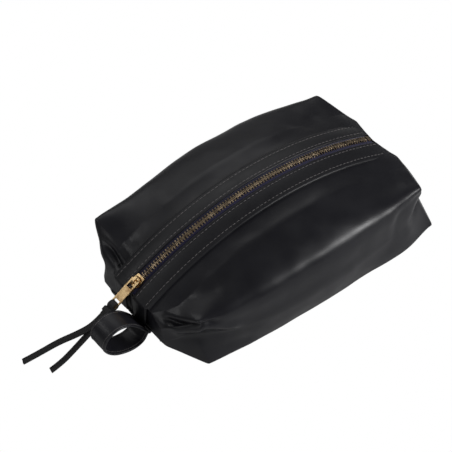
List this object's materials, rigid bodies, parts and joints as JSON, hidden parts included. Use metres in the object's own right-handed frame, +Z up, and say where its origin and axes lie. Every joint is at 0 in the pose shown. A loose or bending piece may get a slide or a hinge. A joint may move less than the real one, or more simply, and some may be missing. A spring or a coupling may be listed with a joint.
{
  "type": "toiletry bag",
  "caption": "Boxed leather toiletry bag with a full-length metal zip in a leather facing, a brass pull with a leather lace, and a wrist strap on one end.",
  "frame": {"origin": "on the table under the middle of the bag's base", "axes": "+X along the zip towards the plain end, +Z up, the wrist strap at the -X end"},
  "size_m": [0.3787, 0.1617, 0.0944],
  "materials": {
    "black_leather": "smooth black leather, semi-matt",
    "facing_leather": "smooth black leather strip, topstitched",
    "lining": "black cotton lining",
    "zip_tape": "navy woven zip tape",
    "zip_metal": "antique brass",
    "pull_metal": "worn brass",
    "lace_leather": "cut leather lace"
  },
  "bodies": {
    "root": {"panel_near": "black_leather", "panel_far": "black_leather", "lining_near": "lining", "lining_far": "lining", "facing_ends_near": "facing_leather", "facing_ends_far": "facing_leather", "tape_ends_near": "zip_tape", "tape_ends_far": "zip_tape", "teeth_ends_near": "zip_metal", "teeth_ends_far": "zip_metal", "top_stops": "zip_metal", "bottom_stop": "zip_metal", "seam_binding_left": "zip_tape", "seam_binding_right": "zip_tape"},
    "lip_near": {"lip_facing_near": "facing_leather", "lip_tape_near": "zip_tape", "lip_teeth_near": "zip_metal"},
    "lip_far": {"lip_facing_far": "facing_leather", "lip_tape_far": "zip_tape", "lip_teeth_far": "zip_metal"},
    "slider": {"slider_body": "pull_metal"},
    "pull": {"pull_tab": "pull_metal"},
    "lace": {"lace_hitch": "lace_leather", "lace_tail_long": "lace_leather", "lace_tail_short": "lace_leather"},
    "strap": {"wrist_strap": "black_leather"}
  },
  "joints": [
    {"name": "slider_travel", "type": "hinge", "parent": "root", "child": "slider", "pos_m": [0.001, 0, -0.179], "axis": [0, 1, 0], "range_deg": [0, 53]},
    {"name": "pull_swing", "type": "hinge", "parent": "slider", "child": "pull", "pos_m": [-0.13402, 0, 0.06258], "axis": [0, 1, 0], "range_deg": [0, 140]},
    {"name": "lace_swing", "type": "hinge", "parent": "pull", "child": "lace", "pos_m": [-0.15939, 0, 0.04823], "axis": [0, 1, 0], "range_deg": [0, 45]},
    {"name": "lip_near_open", "type": "slide", "parent": "root", "child": "lip_near", "axis": [0, -0.989, -0.1478], "range_m": [0, 0.015]},
    {"name": "lip_far_open", "type": "slide", "parent": "root", "child": "lip_far", "axis": [0, 0.989, -0.1478], "range_m": [0, 0.015]},
    {"name": "strap_swing", "type": "hinge", "parent": "root", "child": "strap", "pos_m": [-0.1416, -0.016, 0.024], "axis": [0, 1, 0], "range_deg": [-40, 12]}
  ]
}
